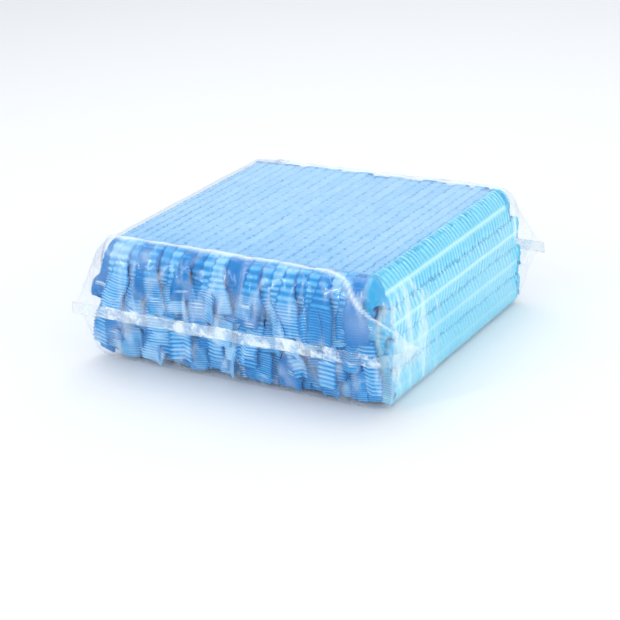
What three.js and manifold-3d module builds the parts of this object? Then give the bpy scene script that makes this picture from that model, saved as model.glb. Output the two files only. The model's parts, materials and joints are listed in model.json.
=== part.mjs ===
// A clear film bag of pleated disposable hairnets, in millimetres, +Z up.
// X runs across the columns of folded caps, Y along each cap, and the front is at -Y.
// The origin is under the middle of the bag, on the surface that it rests on.
import * as THREE from "three";
import { mergeVertices } from "three/addons/utils/BufferGeometryUtils.js";
import Module from "manifold-3d";

// Stack of folded caps
const columns = 25;
const layers = 4;
const columnPitch = 8.5;
const layerPitch = 20.7;
const stripGap = 0.35;
const pressedTogether = 0.15;
const stripLength = 166;
const gathersPerStrip = 6;
const innerGathers = 1;
const gatherDepth = 0.7;
const endRaggedness = 2.4;
const irregularShare = 0.6180339;

// Shoulders, where the pull of the film leans the tops of the outer columns inwards
const shoulderLean = 7;
const shoulderColumns = 6;
const tailLeanShare = 0.4;

// Tails, the loose ends of each cap, which lean out and droop
const tailReach = 17;
const tailFall = 34;
const tailFallVariation = 5;
const tailWidthShare = 0.84;
const tailFloorClearance = 4.5;

// Film bag
const filmWall = 1;
const filmGapUnder = 0.35;
const filmGapOver = 0.4;
const filmGapBeside = 0.8;
const filmGapEnd = 0.9;
const filmBulge = 2.5;
const shoulderWidth = 12.5;
const shoulderHeight = 12.5;
const bottomCornerRadius = 3;
const endFaceDepth = 2.4;
const slitOpening = 1.2;
const roundedShare = 0.3;
const cornerSteps = 3;

// Ears, the film webs that stand upright beside the seals
const earOpen = 14;
const earTucked = 5;
const earThickness = 2;

// Seal bands
const sealHeightShare = 0.48;
const sealBandHeight = 9;
const sealBandThickness = 1;
const sealBandLean = 1.5;
const sealWave = 0.9;
const sealHalfWaves = 7;
const sealGap = 0.3;
const sealSteps = 14;

// Sizes that follow from the ones above
const stripWidth = columnPitch - stripGap;
const stripHeight = layerPitch - stripGap;
const stackWidth = columns * columnPitch;
const stackHeight = layers * layerPitch;
const slotDepth = tailReach / layers;
const filmHalfWidth = stackWidth / 2 + filmGapBeside + filmWall;
const filmHeight = filmWall + filmGapUnder + stackHeight + filmGapOver + filmWall;
const bodyHalf = stripLength / 2;
const tailFront = bodyHalf + tailReach + slotDepth / 2;
const filmEdge = tailFront + filmGapEnd + filmWall;
const slitPlace = filmEdge + endFaceDepth;
const sealLevel = filmHeight * sealHeightShare;
const slitHeight = slitOpening + 2 * filmWall;

// The tail's centre line and thickness, from the end of the straight part to the tip.
// reach and fall are shares of the tail's own reach and fall, and thick is a share of the strip's height
// or, once the tail hangs, of the depth of its slot. lean is how much the section still leans as the
// straight part does: the tail is moved sideways for the rest.
const TAIL_ROWS = [
  { reach: 0.62, fall: 0.03, tilt: 28, width: 0.92, thickOfHeight: 0.5, thickOfSlot: 0, lean: 0.5 },
  { reach: 1.0, fall: 0.42, tilt: 84, width: 1.0, thickOfHeight: 0, thickOfSlot: 0.8, lean: 0 },
  { reach: 0.97, fall: 1.0, tilt: 90, width: 0.9, thickOfHeight: 0, thickOfSlot: 0.6, lean: 0 },
];

// Cross sections of a strip, across and up, as shares of its width and height.
const INNER_SECTION = [
  { across: -0.5, up: -0.5 },
  { across: 0.5, up: -0.5 },
  { across: 0.5, up: 0.5 },
  { across: -0.5, up: 0.5 },
];
const CRESTED_SECTION = [
  { across: -0.5, up: -0.5 },
  { across: 0.5, up: -0.5 },
  { across: 0.5, up: 0.4 },
  { across: 0.0, up: 0.5 },
  { across: -0.5, up: 0.4 },
];
const OUTER_SECTION = [
  { across: -0.5, up: -0.5 },
  { across: 0.34, up: -0.5 },
  { across: 0.5, up: -0.24 },
  { across: 0.4, up: 0.0 },
  { across: 0.5, up: 0.2 },
  { across: 0.24, up: 0.42 },
  { across: -0.5, up: 0.5 },
];

// Film sections from the middle of the bag to its end.
// body is a share of the straight part's half length, end is a share of the way on to the film's edge,
// face is a share of the end face's depth, and top and bottom are shares of the film's height.
// ear is a share of the ear's reach: the web stands upright between the corner edge and the seal.
const FILM_ROWS = [
  { body: 0, end: 0, face: 0, bulge: 1, top: 1, bottom: 0, ear: 0, flat: 0 },
  { body: 0.55, end: 0, face: 0, bulge: 0.75, top: 1, bottom: 0, ear: 0, flat: 0 },
  { body: 1, end: 0, face: 0, bulge: 0.2, top: 1, bottom: 0, ear: 0, flat: 0 },
  { body: 1, end: 0.7, face: 0, bulge: 0, top: 0.985, bottom: 0, ear: 0, flat: 0 },
  { body: 1, end: 1, face: 0, bulge: 0, top: 0.88, bottom: 0.02, ear: 0, flat: 0 },
  { body: 1, end: 1, face: 0.25, bulge: 0, top: 0.85, bottom: 0.05, ear: 0.7, flat: 0 },
  { body: 1, end: 1, face: 0.6, bulge: 0, top: 0.66, bottom: 0.18, ear: 0.9, flat: 0 },
  { body: 1, end: 1, face: 1, bulge: 0, top: 0, bottom: 0, ear: 1, flat: 1 },
];

const wasm = await Module();
wasm.setup();

// A fixed irregularity between -1 and 1 for the strip with this number: the fraction left over
// from a share of the number's square.
function irregular(number) {
  const grown = number * number * irregularShare;
  return 2 * (grown - Math.floor(grown)) - 1;
}

// A closed skin over rings of points that each run the same way round.
// A loop joins its last ring to its first. Otherwise the two ends are closed.
function skin(rings, loop) {
  const around = rings[0].length;
  const positions = rings.flat().flatMap((point) => point.toArray());
  const index = [];
  const spans = loop ? rings.length : rings.length - 1;
  for (let r = 0; r < spans; r += 1) {
    const here = r * around;
    const next = ((r + 1) % rings.length) * around;
    for (let k = 0; k < around; k += 1) {
      const k2 = (k + 1) % around;
      index.push(here + k, here + k2, next + k2, here + k, next + k2, next + k);
    }
  }
  if (!loop) {
    const last = (rings.length - 1) * around;
    for (let k = 1; k < around - 1; k += 1) {
      index.push(0, k + 1, k);
      index.push(last, last + k, last + k + 1);
    }
  }
  const geometry = new THREE.BufferGeometry();
  geometry.setAttribute("position", new THREE.Float32BufferAttribute(positions, 3));
  geometry.setIndex(index);
  return geometry;
}

function toSolid(geometry) {
  const merged = mergeVertices(geometry);
  return new wasm.Manifold(
    new wasm.Mesh({
      numProp: 3,
      vertProperties: new Float32Array(merged.attributes.position.array),
      triVerts: new Uint32Array(merged.index.array),
    }),
  );
}

function fuse(geometries) {
  const solid = geometries.map(toSolid).reduce((joined, next) => joined.add(next));
  const mesh = solid.getMesh();
  const geometry = new THREE.BufferGeometry();
  geometry.setAttribute("position", new THREE.Float32BufferAttribute(mesh.vertProperties, 3));
  geometry.setIndex(Array.from(mesh.triVerts));
  return geometry;
}

// The ring of a strip's section, turned down by tilt towards the end that faces side.
// Its top is moved sideways by lean and is narrower than its bottom by squeeze.
function stripRing(section, place, width, height, tilt, side, outward, lean, squeeze) {
  const turn = THREE.MathUtils.degToRad(tilt);
  const up = new THREE.Vector3(0, side * Math.sin(turn), Math.cos(turn));
  return section.map((corner) => {
    const raised = corner.up + 0.5;
    const across = outward * corner.across * (width - raised * squeeze) + raised * lean;
    return place
      .clone()
      .addScaledVector(up, corner.up * height)
      .add(new THREE.Vector3(across, 0, 0));
  });
}

function columnPlace(column) {
  return (column - (columns - 1) / 2) * columnPitch;
}

// How much of the film's pull a column feels: all of it at the outermost ones, and less further in.
function columnPull(column) {
  const fromSide = Math.min(column, columns - 1 - column) / shoulderColumns;
  return Math.max(0, 1 - fromSide) ** 2;
}

function columnLean(column) {
  const inwards = column > (columns - 1) / 2 ? -1 : 1;
  return inwards * shoulderLean * columnPull(column);
}

// How much narrower the top of a column is, so that it clears the neighbours that lean against it.
function columnSqueeze(column) {
  const beside = [Math.max(column - 1, 0), Math.min(column + 1, columns - 1)];
  const steps = beside.map((other) => Math.abs(columnLean(other) - columnLean(column)));
  return Math.max(...steps);
}

function layerLevel(layer) {
  return filmWall + filmGapUnder + stackHeight - (layer + 0.5) * layerPitch;
}

// The rings of one tail, from its neck to its tip.
function tailRings(section, column, layer, side, outward) {
  const level = layerLevel(layer);
  const number = column * layers + layer + (side > 0 ? columns * layers : 0);
  const wanted = tailFall + tailFallVariation * irregular(number);
  const fall = Math.min(wanted, level - filmWall - tailFloorClearance);
  const reach = tailReach - layer * slotDepth;
  const lean = layer === 0 ? columnLean(column) : 0;
  const squeeze = layer === 0 ? columnSqueeze(column) : 0;
  return TAIL_ROWS.map((row) => {
    const place = new THREE.Vector3(
      columnPlace(column) + (1 - row.lean) * tailLeanShare * lean,
      side * (bodyHalf + row.reach * reach),
      level - row.fall * fall,
    );
    const thick = row.thickOfHeight * stripHeight + row.thickOfSlot * slotDepth;
    const width = row.width * tailWidthShare * stripWidth;
    const leaning = row.lean * lean;
    const narrowed = row.lean * squeeze;
    return stripRing(section, place, width, thick, row.tilt, side, outward, leaning, narrowed);
  });
}

// The rings of the straight part, full at a gather's crest and drawn in between two of them.
// below is how far the strip is pressed down onto the next one. The ends are ragged, but where the
// film pulls on a column it also lines them up.
function bodyRings(section, column, layer, gathers, below, outward) {
  const rings = [];
  const number = column * layers + layer;
  const lean = layer === 0 ? columnLean(column) : 0;
  const squeeze = layer === 0 ? columnSqueeze(column) : 0;
  const loose = layer === 0 ? 1 - columnPull(column) : 1;
  for (let g = 0; g <= gathers; g += 1) {
    const edge = g === 0 || g === gathers;
    const ragged = edge ? loose * endRaggedness * (0.5 + 0.5 * irregular(number + 7 * g)) : 0;
    const along = (2 * g) / gathers - 1;
    const drawn = (g + column) % 2 === 0 ? 0 : gatherDepth;
    const place = new THREE.Vector3(
      columnPlace(column),
      along * (bodyHalf - ragged),
      layerLevel(layer) - (drawn + below) / 2,
    );
    const height = stripHeight + below - drawn;
    const width = stripWidth - drawn / 2;
    rings.push(stripRing(section, place, width, height, 0, 1, outward, lean, squeeze));
  }
  return rings;
}

function stripGeometry(section, column, layer, gathers, below, outward) {
  const front = tailRings(section, column, layer, -1, outward).reverse();
  const body = bodyRings(section, column, layer, gathers, below, outward);
  const back = tailRings(section, column, layer, 1, outward);
  const rings = [...front, ...body, ...back];
  if (outward > 0) {
    rings.forEach((ring) => ring.reverse());
  }
  return skin(rings, false);
}

// One ring of the film, starting at the middle of its right side and running over the top.
// inset is 0 for the outer face and the wall's thickness for the inner one.
function filmRing(side, row, inset, earLeft, earRight) {
  const place =
    side * (row.body * bodyHalf + row.end * (filmEdge - bodyHalf) + row.face * endFaceDepth);
  const halfWidth = filmHalfWidth + filmBulge * row.bulge - inset;
  const slitTop = sealLevel + slitHeight / 2;
  const slitBottom = sealLevel - slitHeight / 2;
  const top = (row.flat ? slitTop : row.top * filmHeight) - inset;
  const bottom = (row.flat ? slitBottom : row.bottom * filmHeight) + inset;
  const half = (top - bottom) / 2;
  const limit = half * roundedShare;
  const bottomRadius = Math.min(bottomCornerRadius - inset, limit);
  const shoulder = Math.min(shoulderWidth - inset, limit);
  const shoulderDrop = Math.min(shoulderHeight - inset, limit);
  const earHalf = inset > 0 ? slitOpening / 4 : earThickness / 2;
  const points = [];
  const add = (x, z) => points.push(new THREE.Vector3(x, place, z));
  const corner = (cx, cz, across, up, from) => {
    for (let step = 0; step <= cornerSteps; step += 1) {
      const angle = THREE.MathUtils.degToRad(from + (step * 90) / cornerSteps);
      add(cx + across * Math.cos(angle), cz + up * Math.sin(angle));
    }
  };
  const ear = (sign, reach) => {
    const tip = sign * (halfWidth + (inset > 0 ? 0 : row.ear * reach));
    add(tip, sealLevel - sign * earHalf);
    add(tip, sealLevel + sign * earHalf);
  };
  ear(1, earRight);
  corner(halfWidth - shoulder, top - shoulderDrop, shoulder, shoulderDrop, 0);
  [0.5, 0, -0.5].forEach((share) => add(share * halfWidth, top));
  corner(shoulder - halfWidth, top - shoulderDrop, shoulder, shoulderDrop, 90);
  ear(-1, earLeft);
  corner(bottomRadius - halfWidth, bottom + bottomRadius, bottomRadius, bottomRadius, 180);
  [-0.5, 0, 0.5].forEach((share) => add(share * halfWidth, bottom));
  corner(halfWidth - bottomRadius, bottom + bottomRadius, bottomRadius, bottomRadius, 270);
  return points;
}

function filmGeometry() {
  const ends = [
    { side: -1, rows: [...FILM_ROWS].reverse(), left: earOpen, right: earTucked },
    { side: 1, rows: FILM_ROWS.slice(1), left: earTucked, right: earOpen },
  ];
  const rings = (inset) =>
    ends.flatMap((end) =>
      end.rows.map((row) => filmRing(end.side, row, inset, end.left, end.right)),
    );
  return skin([...rings(0).reverse(), ...rings(filmWall)], true);
}

// The band hangs over the slit, gently waved, and leans away from the film at its lower edge.
function sealGeometry(side, earLeft, earRight) {
  const from = -filmHalfWidth - earLeft;
  const to = filmHalfWidth + earRight;
  const rings = [];
  for (let step = 0; step <= sealSteps; step += 1) {
    const share = step / sealSteps;
    const x = THREE.MathUtils.lerp(from, to, share);
    const wave = sealWave * Math.sin(share * Math.PI * sealHalfWaves);
    const near = side * (slitPlace + sealGap);
    const far = near + side * sealBandThickness;
    const high = sealLevel + slitHeight / 2 + wave;
    const low = high - sealBandHeight;
    rings.push([
      new THREE.Vector3(x, near, high),
      new THREE.Vector3(x, far, high),
      new THREE.Vector3(x, far + side * sealBandLean, low),
      new THREE.Vector3(x, near + side * sealBandLean, low),
    ]);
  }
  if (side > 0) {
    rings.forEach((ring) => ring.reverse());
  }
  return skin(rings, false);
}

const capBlue = { color: 0xa9d4f7, roughness: 0.85, metalness: 0 };
const capShade = { color: 0x8fc8f2, roughness: 0.85, metalness: 0 };
const clearFilm = { color: 0xf2f7fa, roughness: 0.12, metalness: 0, transparent: true, opacity: 0.3 };
const weldedFilm = { color: 0xe9f1f6, roughness: 0.25, metalness: 0, transparent: true, opacity: 0.5 };

const bag = new THREE.Group();

function addPiece(name, geometry, finish) {
  const piece = new THREE.Mesh(geometry, new THREE.MeshStandardMaterial(finish));
  piece.name = name;
  bag.add(piece);
}

const twoDigits = (number) => String(number).padStart(2, "0");

for (let column = 0; column < columns; column += 1) {
  const first = column === 0;
  const last = column === columns - 1;
  const outward = first ? -1 : 1;
  const lower = Array.from({ length: layers - 1 }, (_, l) => l + 1);
  const topSection = first || last ? OUTER_SECTION : CRESTED_SECTION;
  addPiece(
    `hairnet_top_${twoDigits(column + 1)}`,
    stripGeometry(topSection, column, 0, gathersPerStrip, 0, outward),
    capBlue,
  );
  if (first || last) {
    const word = first ? "left" : "right";
    lower.forEach((layer) =>
      addPiece(
        `hairnet_${word}_${layer + 1}`,
        stripGeometry(OUTER_SECTION, column, layer, gathersPerStrip, 0, outward),
        capShade,
      ),
    );
  } else {
    const strips = lower.map((layer) => {
      const below = layer < layers - 1 ? stripGap + pressedTogether : 0;
      return stripGeometry(INNER_SECTION, column, layer, innerGathers, below, 1);
    });
    addPiece(`hairnet_stack_${twoDigits(column + 1)}`, fuse(strips), capShade);
  }
}

addPiece("bag_film", filmGeometry(), clearFilm);
addPiece("bag_seal_front", sealGeometry(-1, earOpen, earTucked), weldedFilm);
addPiece("bag_seal_back", sealGeometry(1, earTucked, earOpen), weldedFilm);

export default bag;
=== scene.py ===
# %% [markdown]
# # A clear bag of pleated disposable hairnets
#
# The real thing is a hundred clip caps: long strips of thin blue nonwoven cloth, gathered on an elastic
# thread and folded flat. They stand on edge in columns of four inside a clear film bag that is welded shut
# at both ends. The bag's frame, with every size in metres, is loaded first, and each piece below stands
# exactly where its plain solid stands.

# %% Load the frame
import json
import math

import bmesh
import bpy
import numpy as np
from mathutils import Matrix, Vector, noise

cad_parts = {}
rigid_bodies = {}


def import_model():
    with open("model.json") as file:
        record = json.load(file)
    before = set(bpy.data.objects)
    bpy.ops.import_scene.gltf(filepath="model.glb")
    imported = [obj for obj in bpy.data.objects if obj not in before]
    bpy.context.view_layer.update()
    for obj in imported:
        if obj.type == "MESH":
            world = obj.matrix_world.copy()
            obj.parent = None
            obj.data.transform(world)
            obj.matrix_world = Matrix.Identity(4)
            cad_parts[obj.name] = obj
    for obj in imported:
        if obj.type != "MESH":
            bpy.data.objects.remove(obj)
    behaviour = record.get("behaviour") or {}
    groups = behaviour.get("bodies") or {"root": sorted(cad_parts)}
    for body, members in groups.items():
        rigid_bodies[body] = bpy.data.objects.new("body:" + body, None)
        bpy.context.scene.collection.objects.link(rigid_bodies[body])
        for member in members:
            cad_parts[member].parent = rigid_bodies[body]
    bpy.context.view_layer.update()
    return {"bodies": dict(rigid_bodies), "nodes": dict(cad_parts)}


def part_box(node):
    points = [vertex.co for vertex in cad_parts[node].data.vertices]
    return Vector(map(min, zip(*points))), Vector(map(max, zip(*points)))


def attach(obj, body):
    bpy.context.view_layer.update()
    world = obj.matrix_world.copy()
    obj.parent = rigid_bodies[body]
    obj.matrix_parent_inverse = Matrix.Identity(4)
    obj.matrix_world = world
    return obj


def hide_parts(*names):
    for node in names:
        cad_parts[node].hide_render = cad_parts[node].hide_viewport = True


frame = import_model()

BODY = next(iter(frame["bodies"]))
MM = 0.001
SEED = 20
rng = np.random.default_rng(SEED)
scene = bpy.context.scene

# %% [markdown]
# ## The camera
#
# The photographer stood to the right of the bag's front and a little above it. A camera is easiest to
# control by its angles: how far round, how high, how far away, and a slight roll. From these come three
# axes, right, up and back, which are the columns of the camera's matrix.

# %% The camera
CAMERA_AZIMUTH = math.radians(32.5)
CAMERA_ELEVATION = math.radians(22.3)
CAMERA_ROLL = math.radians(-4.0)
CAMERA_DISTANCE = 1.157
CAMERA_RIGHT = -0.0046
CAMERA_UP = 0.014
SENSOR_MM = 36.0
FOCAL_PER_FRAME = 2.742


def add_camera():
    sin_a, cos_a = math.sin(CAMERA_AZIMUTH), math.cos(CAMERA_AZIMUTH)
    sin_e, cos_e = math.sin(CAMERA_ELEVATION), math.cos(CAMERA_ELEVATION)
    back = Vector((sin_a * cos_e, -cos_a * cos_e, sin_e))
    level = Vector((cos_a, sin_a, 0.0))
    raised = back.cross(level)
    right = math.cos(CAMERA_ROLL) * level + math.sin(CAMERA_ROLL) * raised
    up = -math.sin(CAMERA_ROLL) * level + math.cos(CAMERA_ROLL) * raised
    data = bpy.data.cameras.new("camera")
    data.sensor_width = SENSOR_MM
    data.lens = SENSOR_MM * FOCAL_PER_FRAME
    camera = bpy.data.objects.new("camera", data)
    scene.collection.objects.link(camera)
    place = right * CAMERA_RIGHT + up * CAMERA_UP + back * CAMERA_DISTANCE
    camera.matrix_world = Matrix.Translation(place) @ Matrix((right, up, back)).transposed().to_4x4()
    return camera


scene.camera = add_camera()
print("lens", round(scene.camera.data.lens, 1), "mm")

# %% [markdown]
# ## Light and floor
#
# The picture is high key: a bright sky of white card all round, a broad soft light above, a cooler one on
# the right, and a narrow bright one in front that gives the film its white glints. Clear film shows only by
# what it mirrors, so these lamps are as much a part of its look as its material is. The lamp on the right
# is kept out of the film's reflections, because seen from the left its mirror image would hide the top.

# %% Light and floor
scene.view_settings.view_transform = "Standard"
scene.cycles.transparent_max_bounces = 32
WHITE = (1.0, 1.0, 1.0)
LAMPS = [
    {"name": "above", "place": (-0.2, 0.3, 1.2), "size": (0.9, 0.9), "watts": 5.0, "tint": (0.98, 0.99, 1.0)},
    {"name": "right", "place": (1.3, -0.1, 0.5), "size": (0.6, 0.6), "watts": 3.3, "tint": (0.84, 1.0, 0.98)},
    {"name": "glint", "place": (-0.55, -1.0, 0.7), "size": (0.05, 0.9), "watts": 2.2, "tint": WHITE},
    {"name": "edge", "place": (0.75, -0.9, 0.35), "size": (0.04, 0.8), "watts": 1.6, "tint": WHITE},
]
UNMIRRORED = ("right",)
LAMP_AIM = Vector((0.0, 0.0, 0.04))
FLOOR_SIZE = 8.0


def add_lamp(row):
    data = bpy.data.lights.new("lamp_" + row["name"], "AREA")
    data.shape = "RECTANGLE"
    data.size, data.size_y = row["size"]
    data.energy = row["watts"]
    data.color = row["tint"]
    lamp = bpy.data.objects.new("lamp_" + row["name"], data)
    scene.collection.objects.link(lamp)
    lamp.location = row["place"]
    lamp.visible_glossy = row["name"] not in UNMIRRORED
    aim = LAMP_AIM - lamp.location
    lamp.rotation_euler = aim.to_track_quat("-Z", "Y").to_euler()


def add_floor():
    bm = bmesh.new()
    bmesh.ops.create_grid(bm, x_segments=1, y_segments=1, size=FLOOR_SIZE / 2)
    mesh = bpy.data.meshes.new("floor")
    bm.to_mesh(mesh)
    bm.free()
    paper = bpy.data.materials.new("white_paper")
    paper.use_nodes = True
    shader = paper.node_tree.nodes["Principled BSDF"]
    shader.inputs["Base Color"].default_value = (0.86, 0.87, 0.88, 1.0)
    shader.inputs["Roughness"].default_value = 0.9
    mesh.materials.append(paper)
    floor = bpy.data.objects.new("floor", mesh)
    scene.collection.objects.link(floor)


def add_sky():
    world = bpy.data.worlds.new("white_card")
    world.use_nodes = True
    sky = world.node_tree.nodes["Background"]
    sky.inputs["Color"].default_value = (0.95, 0.97, 1.0, 1.0)
    sky.inputs["Strength"].default_value = 0.85
    scene.world = world


for lamp_row in LAMPS:
    add_lamp(lamp_row)
add_floor()
add_sky()
print("lamps", len(LAMPS))

# %% [markdown]
# ## Helpers for materials
#
# Most materials here are a few nodes in a row. Four helpers keep that readable: one adds a node and sets its
# values by name, one starts an empty material, and two add a sum or a mix whose inputs are either numbers or
# other nodes' outputs.

# %% Helpers for materials
def add_node(tree, kind, **settings):
    node = tree.nodes.new(kind)
    for key, value in settings.items():
        if hasattr(node, key):
            setattr(node, key, value)
        else:
            node.inputs[key.replace("_", " ")].default_value = value
    return node


def new_material(name):
    material = bpy.data.materials.new(name)
    material.use_nodes = True
    material.node_tree.nodes.clear()
    return material, material.node_tree


def add_math(tree, operation, first, second):
    node = add_node(tree, "ShaderNodeMath", operation=operation)
    for socket, value in zip(node.inputs, (first, second)):
        if isinstance(value, (int, float)):
            socket.default_value = value
        else:
            tree.links.new(value, socket)
    return node.outputs["Value"]


def add_mix(tree, factor, first, second):
    node = add_node(tree, "ShaderNodeMix", data_type="RGBA")
    for socket, value in zip((node.inputs[0], node.inputs[6], node.inputs[7]), (factor, first, second)):
        if isinstance(value, (int, float, tuple)):
            socket.default_value = value
        else:
            tree.links.new(value, socket)
    return node.outputs[2]

# %% [markdown]
# ## Nonwoven cloth
#
# The caps are spunbond cloth: a cloudy web of fine fibres, pressed together at rows of tiny bond points.
# Both show in every cap, so they are one node group. It reads the strip's own map, which follows the cloth
# round its folds, and puts out the cloudiness and the height of the web.

# %% Nonwoven cloth as a node group
BOND_PITCH = 1.1 * MM
BOND_EDGE = 0.45
FIBRE_SHARE = 0.35


def make_web_group():
    group = bpy.data.node_groups.new("nonwoven_web", "ShaderNodeTree")
    face = group.interface
    face.new_socket("Vector", in_out="INPUT", socket_type="NodeSocketVector")
    bonds_per_metre = face.new_socket("Bonds", in_out="INPUT", socket_type="NodeSocketFloat")
    bonds_per_metre.default_value = 1.0 / BOND_PITCH
    face.new_socket("Cloud", in_out="OUTPUT", socket_type="NodeSocketFloat")
    face.new_socket("Height", in_out="OUTPUT", socket_type="NodeSocketFloat")
    inputs = add_node(group, "NodeGroupInput")
    outputs = add_node(group, "NodeGroupOutput")
    bonds = add_node(group, "ShaderNodeTexVoronoi", feature="F1", Randomness=0.12)
    cloud = add_node(group, "ShaderNodeTexNoise", Scale=420.0, Detail=3.0, Roughness=0.6)
    fibre = add_node(group, "ShaderNodeTexNoise", Scale=3200.0, Detail=2.0, Roughness=0.7)
    for node in (bonds, cloud, fibre):
        group.links.new(inputs.outputs["Vector"], node.inputs["Vector"])
    group.links.new(inputs.outputs["Bonds"], bonds.inputs["Scale"])
    pressed = add_math(group, "SMOOTH_MIN", bonds.outputs["Distance"], BOND_EDGE)
    height = add_math(group, "ADD", pressed, add_math(group, "MULTIPLY", fibre.outputs[0], FIBRE_SHARE))
    group.links.new(height, outputs.inputs["Height"])
    group.links.new(cloud.outputs[0], outputs.inputs["Cloud"])
    return group


web_group = make_web_group()
print("group", web_group.name)

# %% [markdown]
# ## Cap materials
#
# Thin blue cloth looks pale where one layer catches the light and deep where many layers lie in a fold, and
# here that light and shade is painted into the colour. Each strip carries three values on its points: a
# painted light and shade, from 0 in a fold to 1 on a lit ridge, a pale mark for the welds and a painted
# highlight along the elastic, and tone, its own slight difference from its neighbours. The painted light,
# tone and the web's clouds are added up, and a ramp of four blues turns the sum into a colour. The right side
# stands in a greener light than the rest, so its strips have a lit copy of the material with a ramp of its
# own, which is painted light.

# %% Cap materials
CLOUD_STRENGTH = 0.5


def add_ramp(tree, factor, stops):
    ramp = add_node(tree, "ShaderNodeValToRGB")
    tree.links.new(factor, ramp.inputs["Fac"])
    for _ in range(len(stops) - 2):
        ramp.color_ramp.elements.new(0.5)
    for element, (place, colour) in zip(ramp.color_ramp.elements, stops):
        element.position = place
        element.color = colour
    return ramp.outputs["Color"]


def make_cap_material(name, stops, weld_and_highlight_colour):
    material, tree = new_material(name)
    out = add_node(tree, "ShaderNodeOutputMaterial")
    shader = add_node(tree, "ShaderNodeBsdfPrincipled", Roughness=0.82)
    shader.inputs["Sheen Weight"].default_value = 0.12
    shader.inputs["Sheen Roughness"].default_value = 0.5
    shader.inputs["Specular IOR Level"].default_value = 0.25
    uv = add_node(tree, "ShaderNodeUVMap", uv_map="cloth")
    web = add_node(tree, "ShaderNodeGroup", node_tree=web_group)
    tree.links.new(uv.outputs["UV"], web.inputs["Vector"])
    # Each point's painted light and shade, from a fold to a lit ridge.
    painted_light = add_node(tree, "ShaderNodeAttribute", attribute_name="painted_light")
    # Pale marks: the welds, and a painted highlight along the elastic.
    welds_and_elastic_highlight = add_node(tree, "ShaderNodeAttribute", attribute_name="welds_and_elastic_highlight")
    tone = add_node(tree, "ShaderNodeAttribute", attribute_name="tone")
    cloud = add_math(tree, "MULTIPLY_ADD", web.outputs["Cloud"], CLOUD_STRENGTH)
    cloud.node.inputs[2].default_value = -CLOUD_STRENGTH / 2
    lit = add_math(tree, "ADD", painted_light.outputs["Fac"], cloud)
    lit = add_math(tree, "ADD", lit, tone.outputs["Fac"])
    lit.node.use_clamp = True
    cloth = add_ramp(tree, lit, stops)
    marked = add_mix(tree, welds_and_elastic_highlight.outputs["Fac"], cloth, weld_and_highlight_colour)
    tree.links.new(marked, shader.inputs["Base Color"])
    bump = add_node(tree, "ShaderNodeBump", Strength=0.35, Distance=0.00012)
    tree.links.new(web.outputs["Height"], bump.inputs["Height"])
    tree.links.new(bump.outputs["Normal"], shader.inputs["Normal"])
    tree.links.new(shader.outputs["BSDF"], out.inputs["Surface"])
    return material


CAP_STOPS = (
    (0.0, (0.0, 0.2, 0.58, 1.0)),
    (0.3, (0.03, 0.36, 0.77, 1.0)),
    (0.7, (0.29, 0.61, 0.94, 1.0)),
    (1.0, (0.4, 0.72, 1.0, 1.0)),
)
# A lit copy of the cap material: the greener light on the right side is painted into this ramp.
LIT_SIDE_STOPS = (
    (0.0, (0.02, 0.36, 0.7, 1.0)),
    (0.4, (0.12, 0.56, 0.8, 1.0)),
    (0.7, (0.25, 0.7, 0.88, 1.0)),
    (1.0, (0.42, 0.84, 0.94, 1.0)),
)
cap_material = make_cap_material("cap_nonwoven", CAP_STOPS, (0.7, 0.88, 0.98, 1.0))
lit_side_material = make_cap_material("cap_nonwoven_lit_side", LIT_SIDE_STOPS, (0.6, 0.92, 0.88, 1.0))
print("materials", cap_material.name, lit_side_material.name)

# %% [markdown]
# ## Film materials
#
# Clear polythene lets nearly everything through. It mirrors a little when looked at squarely and a lot at a
# slant, so a mix of a transparent and a glossy shader, weighted by how the surface faces, gives its look
# without bending the light. Where film is creased it turns white along the crease, and these white lines
# also stand in for glints as painted highlights. Such creases wind and branch, and so do the lines where a
# smooth noise crosses its middle value. Two values on the film's points, one for crumpling and one for
# whiteness, say where the creases show and where the film is painted white, both as milky film and as
# painted highlights and glints. Light on its way to the caps, and light that another piece of film mirrors,
# passes as if the film were plainly clear, which saves most of the render's time.

# %% Film materials
CREASE_WHITE = 0.08
CREASES_PER_METRE = 55.0
CREASE_WIDTH = 0.016
UPRIGHT_STRETCH = 0.3
PRESSED_POINTS_PER_METRE = 700.0
BLOTCH_FROM = 0.46
BLOTCH_FULL = 0.6
SLANT_POWER = 4.0
SLANT_GLOSS = 0.7


def add_range(tree, value, start, end, at_start, at_end):
    """A soft step: at_start up to one value, at_end from another."""
    step = add_node(tree, "ShaderNodeMapRange", interpolation_type="SMOOTHSTEP")
    tree.links.new(value, step.inputs["Value"])
    limits = {"From Min": start, "From Max": end, "To Min": at_start, "To Max": at_end}
    for key, limit in limits.items():
        step.inputs[key].default_value = limit
    return step.outputs["Result"]


def add_crease_lines(tree, vector):
    """Long winding creases, as a mask from 0 to 1."""
    noise_node = add_node(tree, "ShaderNodeTexNoise", Scale=CREASES_PER_METRE, Detail=1.0, Distortion=0.5)
    tree.links.new(vector, noise_node.inputs["Vector"])
    off = add_math(tree, "ABSOLUTE", add_math(tree, "SUBTRACT", noise_node.outputs[0], 0.5), 0.0)
    return add_range(tree, off, 0.0, CREASE_WIDTH, 1.0, 0.0)


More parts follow.
